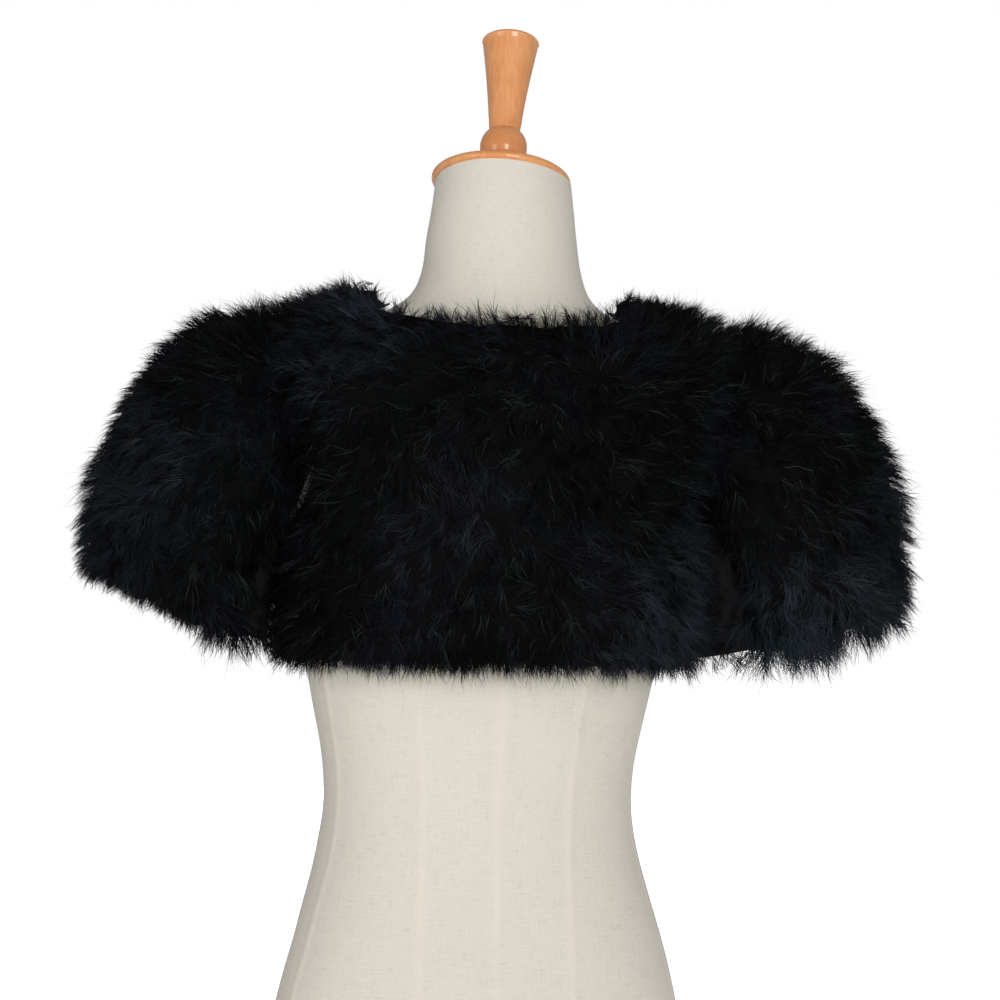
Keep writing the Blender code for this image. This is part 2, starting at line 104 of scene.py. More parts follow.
def new_material(name, **finish):
    """A named material, its node tree and its shader, with the finish set on the shader's own sockets."""
    made = bpy.data.materials.new(name)
    made.use_nodes = True
    shader = made.node_tree.nodes["Principled BSDF"]
    for socket, value in finish.items():
        shader.inputs[socket.replace("_", " ")].default_value = value
    return made, made.node_tree, shader


def unbleached_linen():
    """Plain-woven unbleached flax: matt and pale, with thick and thin threads both ways and darker flecks of
    stalk. Its real threads are about 0.5 mm apart, too fine to show, so the weave is drawn at 1.3 mm."""
    made, tree, shader = new_material("unbleached_linen", Roughness=0.9, Specular_IOR_Level=0.2)
    shader.inputs["Sheen Weight"].default_value = 0.1
    weave = add_node(tree, "ShaderNodeAttribute", {"attribute_name": "weave"})
    seam = add_node(tree, "ShaderNodeAttribute", {"attribute_name": "seam"})

    def threads(scale, low, high):
        """Streaks along the threads: 1 where one is thick or dark, from noise drawn out along the thread."""
        place = add_node(tree, "ShaderNodeMapping", {}, {"Vector": weave.outputs["Vector"], "Scale": scale})
        noise = add_node(
            tree, "ShaderNodeTexNoise", {}, {"Vector": place.outputs[0], "Scale": 1.0, "Detail": 2.0}
        )
        return add_node(
            tree, "ShaderNodeMapRange", {}, {"Value": noise.outputs["Fac"], "From Min": low, "From Max": high}
        ).outputs[0]

    weft_slubs = threads((1 / 0.010, 1 / 0.0014, 1), 0.60, 0.74)
    warp_slubs = threads((1 / 0.0014, 1 / 0.007, 1), 0.64, 0.76)
    weft = threads((1 / 0.018, 1 / 0.0013, 1), 0.30, 0.70)
    warp = threads((1 / 0.0013, 1 / 0.018, 1), 0.30, 0.70)
    cloudy = threads((1 / 0.05, 1 / 0.06, 1), 0.35, 0.65)

    slubs = add_node(tree, "ShaderNodeMath", {"operation": "MAXIMUM"}, {0: weft_slubs, 1: warp_slubs})
    crossing = add_node(tree, "ShaderNodeMath", {"operation": "ADD"}, {0: weft, 1: warp})
    ground = add_node(
        tree, "ShaderNodeMix", {"data_type": "RGBA"}, {0: cloudy, 6: colour("ccc6ba"), 7: colour("d6cec3")}
    )
    woven = add_node(
        tree, "ShaderNodeMix", {"data_type": "RGBA"},
        {0: crossing.outputs[0], 6: ground.outputs[2], 7: colour("d9d4c8")},
    )
    woven.clamp_factor = True
    fleck_share = add_node(
        tree, "ShaderNodeMath", {"operation": "MULTIPLY"}, {0: slubs.outputs[0], 1: 0.30}
    )
    flecked = add_node(
        tree, "ShaderNodeMix", {"data_type": "RGBA"},
        {0: fleck_share.outputs[0], 6: woven.outputs[2], 7: colour("b3aa9b")},
    )
    band_share = add_node(
        tree, "ShaderNodeMath", {"operation": "MULTIPLY"}, {0: seam.outputs["Fac"], 1: 0.62}
    )
    seamed = add_node(
        tree, "ShaderNodeMix", {"data_type": "RGBA"},
        {0: band_share.outputs[0], 6: flecked.outputs[2], 7: colour("e3d9ca")},
    )
    tree.links.new(seamed.outputs[2], shader.inputs["Base Color"])
    relief = add_node(
        tree, "ShaderNodeMath", {"operation": "ADD"}, {0: slubs.outputs[0], 1: crossing.outputs[0]}
    )
    bump = add_node(
        tree, "ShaderNodeBump", {}, {"Height": relief.outputs[0], "Strength": 0.35, "Distance": 0.25 * MM}
    )
    tree.links.new(bump.outputs[0], shader.inputs["Normal"])
    return made


def varnished_wood():
    """Turned beech stained orange tan under a thick gloss varnish: a warm even body with short fine flecks of
    grain along it, and small sharp window reflections in the varnish."""
    made, tree, shader = new_material(
        "varnished_beech", Roughness=0.45, Coat_Weight=0.6, Coat_Roughness=0.07, Coat_IOR=1.5
    )
    place = add_node(tree, "ShaderNodeTexCoord")
    grain_place = add_node(
        tree, "ShaderNodeMapping", {}, {"Vector": place.outputs["Object"], "Scale": (420, 420, 45)}
    )
    grain = add_node(
        tree, "ShaderNodeTexNoise", {}, {"Vector": grain_place.outputs[0], "Scale": 1.0, "Detail": 4.0}
    )
    stain = add_node(
        tree, "ShaderNodeTexNoise", {}, {"Vector": place.outputs["Object"], "Scale": 38.0, "Detail": 2.0}
    )
    both = add_node(
        tree, "ShaderNodeMath", {"operation": "ADD"}, {0: grain.outputs["Fac"], 1: stain.outputs["Fac"]}
    )
    share = add_node(
        tree, "ShaderNodeMapRange", {}, {"Value": both.outputs[0], "From Min": 0.75, "From Max": 1.25}
    )
    body = add_node(
        tree, "ShaderNodeMix", {"data_type": "RGBA"},
        {0: share.outputs[0], 6: colour("db8d50"), 7: colour("e7a26a")},
    )
    tree.links.new(body.outputs[2], shader.inputs["Base Color"])
    return made


def beech_board():
    """A plain sawn and sanded beech board: pale brown, with straight grain along its length."""
    made, tree, shader = new_material("sanded_beech", Roughness=0.6)
    place = add_node(tree, "ShaderNodeTexCoord")
    along = add_node(
        tree, "ShaderNodeMapping", {}, {"Vector": place.outputs["Object"], "Scale": (12, 260, 260)}
    )
    grain = add_node(
        tree, "ShaderNodeTexNoise", {}, {"Vector": along.outputs[0], "Scale": 1.0, "Detail": 3.0}
    )
    body = add_node(
        tree, "ShaderNodeMix", {"data_type": "RGBA"},
        {0: grain.outputs["Fac"], 6: colour("a37a52"), 7: colour("c39a6c")},
    )
    tree.links.new(body.outputs[2], shader.inputs["Base Color"])
    return made


def black_cloth():
    """Black plain-woven polyester, the ground that the feathers are sewn to: matt, with a fine even weave.
    The threads are about 0.3 mm apart, too fine to show, so they are drawn 1.2 mm apart."""
    made, tree, shader = new_material("black_woven_polyester", Roughness=0.75, Specular_IOR_Level=0.3)
    weave = add_node(tree, "ShaderNodeAttribute", {"attribute_name": "weave"})
    threads_apart = 0.0012
    heights = []
    for direction in ("X", "Y"):
        heights.append(add_node(
            tree, "ShaderNodeTexWave", {"bands_direction": direction},
            {"Vector": weave.outputs["Vector"], "Scale": 1 / threads_apart / 20 * math.pi, "Distortion": 0.4},
        ).outputs["Fac"])
    both = add_node(tree, "ShaderNodeMath", {"operation": "ADD"}, {0: heights[0], 1: heights[1]})
    share = add_node(tree, "ShaderNodeMath", {"operation": "MULTIPLY"}, {0: both.outputs[0], 1: 0.5})
    body = add_node(
        tree, "ShaderNodeMix", {"data_type": "RGBA"},
        {0: share.outputs[0], 6: colour("060607"), 7: colour("101013")},
    )
    tree.links.new(body.outputs[2], shader.inputs["Base Color"])
    bump = add_node(
        tree, "ShaderNodeBump", {}, {"Height": both.outputs[0], "Strength": 0.3, "Distance": 0.2 * MM}
    )
    tree.links.new(bump.outputs[0], shader.inputs["Normal"])
    return made


def black_plume():
    """Dyed turkey down: soft barbs, nearly black, with a faint bloom that catches light along the barbs. It
    is dyed unevenly, so some tufts are bluer or greener; some bluer, lighter patches are painted sheen as
    well, and some barbs are painted pale as glints of light: each barb carries its own tint."""
    made, tree, shader = new_material("dyed_turkey_down", Roughness=0.55, Specular_IOR_Level=0.05)
    tint = add_node(tree, "ShaderNodeAttribute", {"attribute_name": "tint"})
    tree.links.new(tint.outputs["Vector"], shader.inputs["Base Color"])
    place = add_node(tree, "ShaderNodeTexCoord")
    fuzz = add_node(
        tree, "ShaderNodeTexNoise", {}, {"Vector": place.outputs["Object"], "Scale": 520.0, "Detail": 3.0}
    )
    bump = add_node(
        tree, "ShaderNodeBump", {}, {"Height": fuzz.outputs["Fac"], "Strength": 1.0, "Distance": 1.5 * MM}
    )
    tree.links.new(bump.outputs[0], shader.inputs["Normal"])
    return made


def seen_and_felt(tree, seen, felt):
    """A strength of light that is as seen in the picture, and as felt by the pieces."""
    path = add_node(tree, "ShaderNodeLightPath")
    return add_node(
        tree, "ShaderNodeMapRange", {},
        {"Value": path.outputs["Is Camera Ray"], "To Min": felt, "To Max": seen},
    ).outputs[0]


def pale_floor():
    """White paper, lit to white."""
    made, tree, shader = new_material("white_paper_floor", Roughness=0.9, Specular_IOR_Level=0.0)
    shader.inputs["Base Color"].default_value = colour("f7f7f7")
    shader.inputs["Emission Color"].default_value = (1, 1, 1, 1)
    tree.links.new(seen_and_felt(tree, 0.9, 0.1), shader.inputs["Emission Strength"])
    return made


# ---- Modelling helpers --------------------------------------------------------------------------
def only(piece):
    bpy.ops.object.select_all(action="DESELECT")
    piece.select_set(True)
    bpy.context.view_layer.objects.active = piece


def finished_with(piece, kind, **settings):
    """Adds a modifier with these settings to the piece and applies it."""
    only(piece)
    modifier = piece.modifiers.new(kind.title(), kind)
    for name, value in settings.items():
        setattr(modifier, name, value)
    bpy.ops.object.modifier_apply(modifier=modifier.name)


def edit(piece, *steps):
    """Runs mesh operators, each given as its name and settings, on the piece in edit mode."""
    only(piece)
    bpy.ops.object.mode_set(mode="EDIT")
    for name, settings in steps:
        getattr(bpy.ops.mesh, name)(**settings)
    bpy.ops.object.mode_set(mode="OBJECT")


def delete_faces(piece, unwanted):
    edit(piece, ("select_mode", {"type": "FACE"}), ("select_all", {"action": "DESELECT"}))
    piece.data.polygons.foreach_set("select", unwanted)
    edit(piece, ("delete", {"type": "FACE"}))


def points_of(piece):
    points = np.empty(len(piece.data.vertices) * 3)
    piece.data.vertices.foreach_get("co", points)
    return points.reshape(-1, 3)


def normals_of(piece):
    normals = np.empty(len(piece.data.vertices) * 3)
    piece.data.vertices.foreach_get("normal", normals)
    return normals.reshape(-1, 3)


def move_points(piece, points):
    piece.data.vertices.foreach_set("co", points.ravel())
    piece.data.update()


def faces_of(piece):
    """The middle and the normal of each face."""
    middles = np.array([f.center for f in piece.data.polygons])
    normals = np.array([f.normal for f in piece.data.polygons])
    return middles, normals


def tree_of(piece):
    """The piece's surface, for finding what is nearest to it."""
    return BVHTree.FromPolygons(points_of(piece).tolist(), [list(f.vertices) for f in piece.data.polygons])


def note(piece, name, values):
    """Writes a number, or a place in metres, on each point for the materials to read."""
    kind = "FLOAT" if values.ndim == 1 else "FLOAT_VECTOR"
    made = piece.data.attributes.new(name, kind, "POINT")
    made.data.foreach_set("value" if kind == "FLOAT" else "vector", values.astype(np.float32).ravel())


def skin_of(node, name, look):
    """A new piece with a merged copy of a CAD node's mesh, in quads where it can be."""
    piece = bpy.data.objects.new(name, nodes[node].data.copy())
    bpy.context.scene.collection.objects.link(piece)
    piece.data.materials.clear()
    piece.data.materials.append(look)
    only(piece)
    bpy.ops.mesh.customdata_custom_splitnormals_clear()
    edit(
        piece,
        ("select_all", {"action": "SELECT"}),
        ("remove_doubles", {"threshold": 0.00001}),
        ("tris_convert_to_quads", {"face_threshold": math.radians(60), "shape_threshold": math.radians(60)}),
    )
    return piece


def unit(vectors):
    return vectors / np.maximum(np.linalg.norm(vectors, axis=-1, keepdims=True), 1e-9)


def nearest_on_path(points, path):
    """For each point, the nearest place on a path of straight stretches."""
    best, best_gap = None, None
    for start, end in zip(path[:-1], path[1:]):
        along = end - start
        t = np.clip((points - start) @ along / (along @ along), 0, 1)
        place = start + t[:, None] * along
        gap = np.linalg.norm(points - place, axis=1)
        if best is None:
            best, best_gap = place, gap
        nearer = gap < best_gap
        best, best_gap = np.where(nearer[:, None], place, best), np.where(nearer, gap, best_gap)
    return best, best_gap


def waves(points, length, seed):
    """Soft random hills and hollows, about from -1 to 1, a given length from one to the next."""
    draw = np.random.default_rng(seed)
    total = np.zeros(points.shape[:-1])
    for _ in range(9):
        heading = draw.normal(size=3)
        heading *= 2 * math.pi / (length * draw.uniform(0.75, 1.5)) / np.linalg.norm(heading)
        total += np.sin(points @ heading + draw.uniform(0, 2 * math.pi))
    return total / 3


# ---- The dress form -----------------------------------------------------------------------------
# Seams of the linen cover: the angle from the middle of the back at these heights.
SEAM_HEIGHTS = np.array((0.00, 0.144, 0.230, 0.300, 0.370, 0.560))
SEAMS = {
    "centre_back": np.zeros(6),
    "back_right": np.radians((29, 32, 35, 36.5, 38, 46)),
    "back_left": -np.radians((29, 32, 35, 36.5, 38, 46)),
    "side_right": np.radians((76, 76, 76, 75.5, 75, 78)),
    "side_left": -np.radians((76, 76, 76, 75.5, 75, 78)),
    "front_right": np.radians((150, 148, 145, 143, 141, 138)),
    "front_left": -np.radians((150, 148, 145, 143, 141, 138)),
    "centre_front": np.radians((180, 180, 180, 180, 180, 180)),
}
SEAM_BAND, SEAM_RISE = 4.2 * MM, 0.5 * MM  # the pressed seam allowance shows through as a raised band
SEAM_TOP, SEAM_FADE = 0.56, 0.02  # the seams end under the shrug, fading out over this height
TORSO_MIDDLE, TORSO_RADIUS = -0.004, 0.125  # y of the middle line, and the radius that the weave is laid at
TORSO_STEPS = 192  # points round the torso once it is subdivided
SEAM_STEPS = 5  # points on each side of a seam that are drawn in to it, to show its narrow band


def drawn_to_seam(gap, half_band, reach):
    """How far from a seam a point goes that was this far from it, in angles: half of those in reach lie over
    the band, and the rest are spread between it and the reach."""
    share = np.abs(gap / reach)
    band_edge = 1.7 * half_band
    beyond = band_edge + (share - 0.5) / 0.5 * (reach - band_edge)
    return np.sign(gap) * np.where(share < 0.5, share / 0.5 * band_edge, beyond)


def torso_cover(look):
    """The linen cover: the CAD torso made smooth, with its seams as slightly raised bands."""
    piece = skin_of("form_torso", "linen_torso", look)
    middles, normals = faces_of(piece)
    low, high = middles[:, 2].min(), middles[:, 2].max()
    ends = (np.abs(normals[:, 2]) > 0.8) & ((middles[:, 2] < low + 0.004) | (middles[:, 2] > high - 0.03))
    delete_faces(piece, ends)
    finished_with(piece, "SUBSURF", levels=2, render_levels=2, boundary_smooth="ALL")
    points = points_of(piece)
    tree = tree_of(piece)

    def round_back(where):
        return np.arctan2(where[:, 0], TORSO_MIDDLE - where[:, 1])

    angles = round_back(points)
    moved, band = angles.copy(), np.zeros(len(points))
    fade = np.clip((SEAM_TOP - points[:, 2]) / SEAM_FADE, 0, 1)
    half_band = SEAM_BAND / 2 / np.hypot(points[:, 0], points[:, 1] - TORSO_MIDDLE)
    reach = SEAM_STEPS * 2 * math.pi / TORSO_STEPS
    for path in SEAMS.values():
        seam_at = np.interp(points[:, 2], SEAM_HEIGHTS, path)
        gap = (angles - seam_at + math.pi) % (2 * math.pi) - math.pi
        near = np.abs(gap) < reach
        drawn = drawn_to_seam(gap, half_band, reach)
        moved = np.where(near & (fade > 0), angles + (drawn - gap) * fade, moved)
        on_band = np.clip(1.9 - np.abs(drawn) / half_band * 1.1, 0, 1)
        band = np.maximum(band, np.where(near, on_band, 0) * fade)
    for i in np.nonzero(np.abs(moved - angles) > 1e-6)[0]:
        heading = Vector((math.sin(moved[i]), -math.cos(moved[i]), 0))
        start = Vector((0, TORSO_MIDDLE, points[i, 2]))
        hit = tree.ray_cast(start, heading, 0.3)
        if hit[0] is not None:
            points[i] = hit[0]
    move_points(piece, points)
    puckers = 0.5 + 0.5 * waves(points, 0.012, 3)
    slack = waves(points, 0.05, 8) * 0.25 * MM
    points = points + normals_of(piece) * (band * SEAM_RISE * (0.7 + 0.3 * puckers) + slack)[:, None]
    move_points(piece, points)
    edit(
        piece, ("select_all", {"action": "SELECT"}), ("fill_holes", {"sides": 0}),
        ("normals_make_consistent", {"inside": False}),
    )
    points = points_of(piece)
    around = round_back(points) * TORSO_RADIUS
    note(piece, "weave", np.stack([around, points[:, 2], np.zeros(len(points))], axis=1))
    faded = band * np.clip(0.7 + 0.35 * waves(points[:len(band)], 0.09, 5) + 0.15 * puckers, 0, 1)
    note(piece, "seam", np.concatenate([faded, np.zeros(len(points) - len(band))]))
    only(piece)
    bpy.ops.object.shade_smooth_by_angle(angle=math.radians(50))
    return piece


def base_board(look):
    """The board under the torso: the CAD board, with its edge shaded smooth and its rims left sharp."""
    piece = skin_of("form_base_board", "base_board", look)
    only(piece)
    bpy.ops.object.shade_smooth_by_angle(angle=math.radians(30))
    return piece


def turned_on_lathe(name, node, axis, rows, look):
    """A turned piece, modelled up the lathe: a disc, extruded and resized row by row. Rows are height and
    radius, from the foot, where the CAD piece has its own foot along the axis."""
    corners = points_of(nodes[node])
    middle = corners.mean(axis=0)
    foot = middle + axis * ((corners - middle) @ axis).min()
    bpy.ops.object.select_all(action="DESELECT")
    bpy.ops.mesh.primitive_circle_add(vertices=96, radius=rows[0][1], fill_type="NGON", location=(0, 0, 0))
    piece = bpy.context.active_object
    piece.name = name
    bpy.ops.object.mode_set(mode="EDIT")
    bpy.ops.mesh.select_all(action="SELECT")
    for (height, radius), (height_next, radius_next) in zip(rows[:-1], rows[1:]):
        bpy.ops.mesh.extrude_region_move(TRANSFORM_OT_translate={"value": (0, 0, height_next - height)})
        size = radius_next / radius
        bpy.ops.transform.resize(value=(size, size, 1), center_override=(0, 0, height_next))
    bpy.ops.mesh.select_all(action="SELECT")
    bpy.ops.mesh.normals_make_consistent(inside=False)
    bpy.ops.object.mode_set(mode="OBJECT")
    turn = Vector((0, 0, 1)).rotation_difference(Vector(axis)).to_matrix()
    piece.data.transform(Matrix.Translation(foot) @ turn.to_4x4())
    piece.data.materials.append(look)
    only(piece)
    bpy.ops.object.shade_smooth_by_angle(angle=math.radians(35))
    return piece


def rounded(low, high, radius, edge, steps=5):
    """Rows over a disc's rounded rim, between two heights."""
    angles = np.linspace(-math.pi / 2, math.pi / 2, 2 * steps + 1)
    middle, half = (low + high) / 2, (high - low) / 2
    return [(middle + half * math.sin(a), radius - edge + edge * math.cos(a)) for a in angles]


def neck_cap_rows():
    return rounded(0.0, 7.0 * MM, 54.3 * MM, 3.5 * MM) + [(7.0 * MM, 17.0 * MM), (7.0 * MM, 4.0 * MM)]


def handle_rows():
    """A foot ring, a ball, a crease, and a grip that flares to a domed top."""
    rows = [(0.0, 15.0), (3.6, 15.0), (4.3, 14.6), (4.5, 13.8), (5.6, 8.5), (6.0, 6.0)]
    for degrees in range(-68, 47, 6):
        a = math.radians(degrees)
        rows.append((24.0 + 18.5 * math.sin(a), 18.5 * math.cos(a)))
    rows += [(37.6, 12.15), (38.0, 12.2)]
    for share in np.linspace(0.08, 0.96, 12):
        rows.append((37.5 + 79.0 * share, 12.3 + 10.3 * (0.62 * share + 0.38 * share ** 2)))
    for degrees in range(10, 91, 16):
        a = math.radians(degrees)
        rows.append((113.5 + 3.0 * math.sin(a), 19.6 + 3.0 * math.cos(a)))
    rows += [(116.9, 14.0), (117.3, 7.0), (117.5, 1.0)]
    return [(height * MM, radius * MM) for height, radius in rows]


# ---- The cloth ----------------------------------------------------------------------------------
BODY_SPINE = np.array(((0, -0.006, 0.38), (0, -0.006, 0.56)))
# Creases: from, to, half width and depth of a soft trough. A negative depth is a ridge.
CREASES = {
    "back_cloth": [
        ((-0.15, -0.05, 0.53), (-0.06, -0.11, 0.60), 0.016, 2.2 * MM),
        ((0.15, -0.05, 0.52), (0.05, -0.11, 0.59), 0.018, 2.0 * MM),
        ((-0.12, -0.08, 0.46), (0.02, -0.12, 0.44), 0.014, 1.6 * MM),
        ((0.13, -0.08, 0.47), (0.09, -0.11, 0.415), 0.013, -1.6 * MM),
        ((0.0, -0.11, 0.47), (0.01, -0.12, 0.41), 0.016, -1.4 * MM),
    ],
    "left_front_cloth": [
        ((-0.15, 0.04, 0.53), (-0.07, 0.10, 0.47), 0.014, 2.0 * MM),
        ((-0.11, 0.08, 0.45), (-0.12, 0.08, 0.41), 0.012, -1.6 * MM),
    ],
    "right_front_cloth": [
        ((0.15, 0.04, 0.52), (0.07, 0.10, 0.46), 0.014, 2.0 * MM),
        ((0.10, 0.09, 0.45), (0.11, 0.09, 0.41), 0.012, -1.6 * MM),
    ],
    "left_sleeve_cloth": [
        ((-0.20, -0.05, 0.61), (-0.25, -0.06, 0.44), 0.014, 2.6 * MM),
        ((-0.22, 0.05, 0.60), (-0.26, 0.06, 0.45), 0.014, 2.6 * MM),
        ((-0.26, -0.02, 0.59), (-0.285, -0.02, 0.46), 0.013, -2.2 * MM),
        ((-0.18, -0.06, 0.53), (-0.19, -0.05, 0.42), 0.012, 2.0 * MM),
        ((-0.18, 0.06, 0.53), (-0.19, 0.05, 0.42), 0.012, 2.0 * MM),
    ],
    "right_sleeve_cloth": [
        ((0.20, -0.05, 0.62), (0.26, -0.06, 0.43), 0.014, 2.6 * MM),
        ((0.23, 0.05, 0.61), (0.27, 0.06, 0.44), 0.014, 2.6 * MM),
        ((0.28, -0.02, 0.60), (0.305, -0.02, 0.46), 0.013, -2.2 * MM),
        ((0.18, -0.06, 0.53), (0.19, -0.05, 0.42), 0.012, 2.0 * MM),
        ((0.18, 0.06, 0.53), (0.19, 0.05, 0.42), 0.012, 2.0 * MM),
    ],
}
CLOTH_THICK = 1.4 * MM


def sleeve_spine(hand):
    """Down the middle of the sleeve's hollow, from the armhole through the cuff."""
    boxes = [
        np.array(o["box_m"])
        for o in frame["record"]["physics"]["openings"]
        if o["name"] in (f"sleeve_{hand}_upper", f"sleeve_{hand}_cuff")
    ]
    boxes.sort(key=lambda box: -box[1][2])
    upper, cuff = boxes[0].mean(axis=0), boxes[1].mean(axis=0)
    return np.array((upper + 0.2 * (upper - cuff), upper, cuff + 0.3 * (cuff - upper)))


def cloth_shell(name, node, spine, look):
    """The outer skin of a cloth node, creased as listed. It is made thick once the feathers are on it."""
    piece = skin_of(node, name, look)
    middles, normals = faces_of(piece)
    away = unit(middles - nearest_on_path(middles, spine)[0])
    delete_faces(piece, (normals * away).sum(axis=1) < 0.25)
    finished_with(piece, "SUBSURF", levels=2, render_levels=2, boundary_smooth="PRESERVE_CORNERS")
    points, normals = points_of(piece), normals_of(piece)
    for start, end, width, depth in CREASES[name]:
        gap = nearest_on_path(points, np.array((start, end)))[1]
        points = points - normals * (depth * np.exp(-((gap / width) ** 2)))[:, None]
    move_points(piece, points)
    middle = nearest_on_path(points, spine)[0]
    out = points - middle
    around = np.arctan2(out[:, 0], out[:, 1]) * np.linalg.norm(out[:, :2], axis=1).mean()
    note(piece, "weave", np.stack([around, points[:, 2], np.zeros(len(points))], axis=1))
    return piece


# ---- The feathers -------------------------------------------------------------------------------
# How the plumes lie: a place on the shrug, and the direction they are combed there.
COMBED = np.array([
    # the back
    ((-0.10, -0.08, 0.655), (-0.80, 0.0, 0.35)),
    ((-0.15, -0.06, 0.645), (-1.00, 0.0, 0.10)),
    ((-0.12, -0.09, 0.600), (-1.00, 0.0, -0.35)),
    ((-0.20, -0.06, 0.590), (-0.90, 0.0, -0.60)),
    ((-0.06, -0.10, 0.560), (-0.50, 0.0, -0.80)),
    ((-0.04, -0.08, 0.655), (-0.55, 0.0, 0.85)),
    ((0.02, -0.08, 0.660), (-0.45, 0.0, 0.90)),
    ((0.06, -0.08, 0.660), (0.10, 0.0, 0.90)),
    ((-0.03, -0.10, 0.610), (-0.90, 0.0, -0.30)),
    ((0.03, -0.10, 0.605), (-0.30, 0.0, -0.80)),
    ((0.00, -0.11, 0.520), (0.10, 0.0, -1.00)),
    ((0.00, -0.12, 0.430), (0.05, 0.0, -1.00)),
    ((-0.10, -0.10, 0.430), (-0.15, 0.0, -1.00)),
    ((-0.12, -0.09, 0.500), (-0.45, 0.0, -1.00)),
    ((-0.15, -0.08, 0.460), (-0.75, 0.0, -0.90)),
    ((-0.16, -0.08, 0.530), (-0.90, 0.0, -0.70)),
    ((0.10, -0.08, 0.650), (0.45, 0.0, 0.60)),
    ((0.11, -0.09, 0.590), (0.80, 0.0, -0.25)),
    ((0.06, -0.11, 0.500), (0.85, 0.0, -0.55)),
    ((0.12, -0.09, 0.460), (0.65, 0.0, -0.90)),
    ((0.155, -0.08, 0.460), (0.90, 0.0, -0.80)),
    ((0.165, -0.08, 0.530), (0.95, 0.0, -0.50)),
    ((0.10, -0.10, 0.420), (0.35, 0.0, -1.00)),
    # the left sleeve
    ((-0.22, -0.05, 0.630), (-0.85, 0.0, 0.25)),
    ((-0.26, -0.05, 0.560), (-0.80, 0.0, -0.75)),
    ((-0.29, -0.03, 0.480), (-0.60, 0.0, -1.00)),
    ((-0.24, -0.06, 0.450), (-0.25, 0.0, -1.00)),
    ((-0.19, -0.06, 0.480), (-0.10, 0.0, -1.00)),
    ((-0.24, 0.06, 0.600), (-0.80, 0.0, -0.40)),
    ((-0.25, 0.06, 0.460), (-0.35, 0.0, -1.00)),
    # the right sleeve
    ((0.22, -0.05, 0.640), (0.75, 0.0, 0.35)),
    ((0.28, -0.05, 0.580), (0.85, 0.0, -0.50)),
    ((0.30, -0.04, 0.490), (0.60, 0.0, -0.90)),
    ((0.25, -0.06, 0.450), (0.50, 0.0, -1.00)),
    ((0.19, -0.06, 0.460), (0.35, 0.0, -1.00)),
    ((0.25, 0.06, 0.600), (0.80, 0.0, -0.40)),
    ((0.26, 0.06, 0.460), (0.35, 0.0, -1.00)),
    # the fronts
    ((-0.12, 0.06, 0.620), (-0.70, 0.0, -0.60)),
    ((0.12, 0.06, 0.620), (0.70, 0.0, -0.60)),
    ((-0.07, 0.10, 0.520), (0.30, 0.0, -1.00)),
    ((0.07, 0.10, 0.520), (-0.30, 0.0, -1.00)),
    ((-0.09, 0.10, 0.430), (0.10, 0.0, -1.00)),
    ((0.09, 0.10, 0.430), (-0.10, 0.0, -1.00)),
    ((-0.11, 0.02, 0.660), (-0.60, 0.3, 0.60)),
    ((0.11, 0.02, 0.660), (0.60, 0.3, 0.60)),
])
COMB_SPREAD = 0.045  # how far each combed place has its say
DOWN_DEPTH, LIFT = 0.76, 17 * MM  # the down's share of the feathers' reach, and how long barbs rise out of it
TOUCHING, ALONGSIDE = 0.6 * MM, 1.6 * MM  # how near the down is to cloth under it, and to the next down
LUMPS = ((0.024, 11, 1.6 * MM), (0.011, 12, 1.0 * MM))  # of the down: from one to the next, seed and height
# The last of these three colours is for painted glints: barbs painted pale as if they caught the light.
GROUND, BLUER, GLINT = (np.array(colour(code)[:3]) for code in ("060807", "12141c", "3a3f3f"))
# Where the down is bluer and lighter, partly from uneven dyeing and partly as painted sheen where light
# catches it: place, spread and colour.
DYE_AND_SHEEN = [
    ((-0.10, -0.08, 0.665), 0.045, "23262f"),
    ((-0.27, -0.06, 0.530), 0.060, "191c23"),
    ((-0.20, -0.06, 0.570), 0.030, "1c1f29"),
    ((-0.04, -0.12, 0.520), 0.045, "191b22"),
    ((0.12, -0.12, 0.435), 0.055, "24272f"),
    ((0.25, -0.08, 0.440), 0.055, "262931"),
    ((0.148, -0.12, 0.464), 0.026, "1b292d"),
    ((0.210, -0.09, 0.433), 0.020, "1b2b30"),
    ((0.33, -0.04, 0.520), 0.045, "1f2329"),
    ((0.10, 0.11, 0.450), 0.050, "1f222b"),
    ((-0.12, 0.09, 0.560), 0.045, "1b1e25"),
    ((0.26, 0.08, 0.560), 0.050, "1b1e25"),
    ((-0.26, 0.08, 0.450), 0.050, "1f232c"),
]
BARBS = 20  # in a tuft
BARB_WIDTH = 0.44 * MM
ROOT_DEPTH, ROOT_DEPTH_BELOW = 2.5 * MM, 7 * MM  # barbs are rooted this deep, and deeper on what faces down
SHORT_TUFT = 0.75  # how long the tufts on bare cloth are, of those on the down
# Planes that barbs are drawn back towards: a point on each, and the way out of it.
LIMITS = [
    (np.array((0, -0.148, 0)), np.array((0.0, -1.0, 0.0))),
    (np.array((0, 0.156, 0)), np.array((0.0, 1.0, 0.0))),
    (np.array((0.361, 0, 0)), np.array((1.0, 0.0, 0.0))),
    (np.array((-0.332, 0, 0)), np.array((-1.0, 0.0, 0.0))),
]
# Where the tufts are longer or shorter: place, spread and how many times as long.
LENGTHS = [
    ((0.270, -0.06, 0.415), 0.050, 2.4),
    ((0.180, -0.06, 0.400), 0.038, 2.0),
    ((-0.205, -0.06, 0.400), 0.040, 2.2),
    ((-0.28, -0.04, 0.440), 0.055, 0.8),
    ((-0.27, -0.02, 0.600), 0.060, 0.6),
    ((-0.13, -0.03, 0.690), 0.040, 0.5),
    ((0.125, -0.03, 0.690), 0.040, 0.45),
    ((-0.065, -0.07, 0.670), 0.030, 0.55),
    ((0.02, -0.08, 0.665), 0.050, 0.85),
]


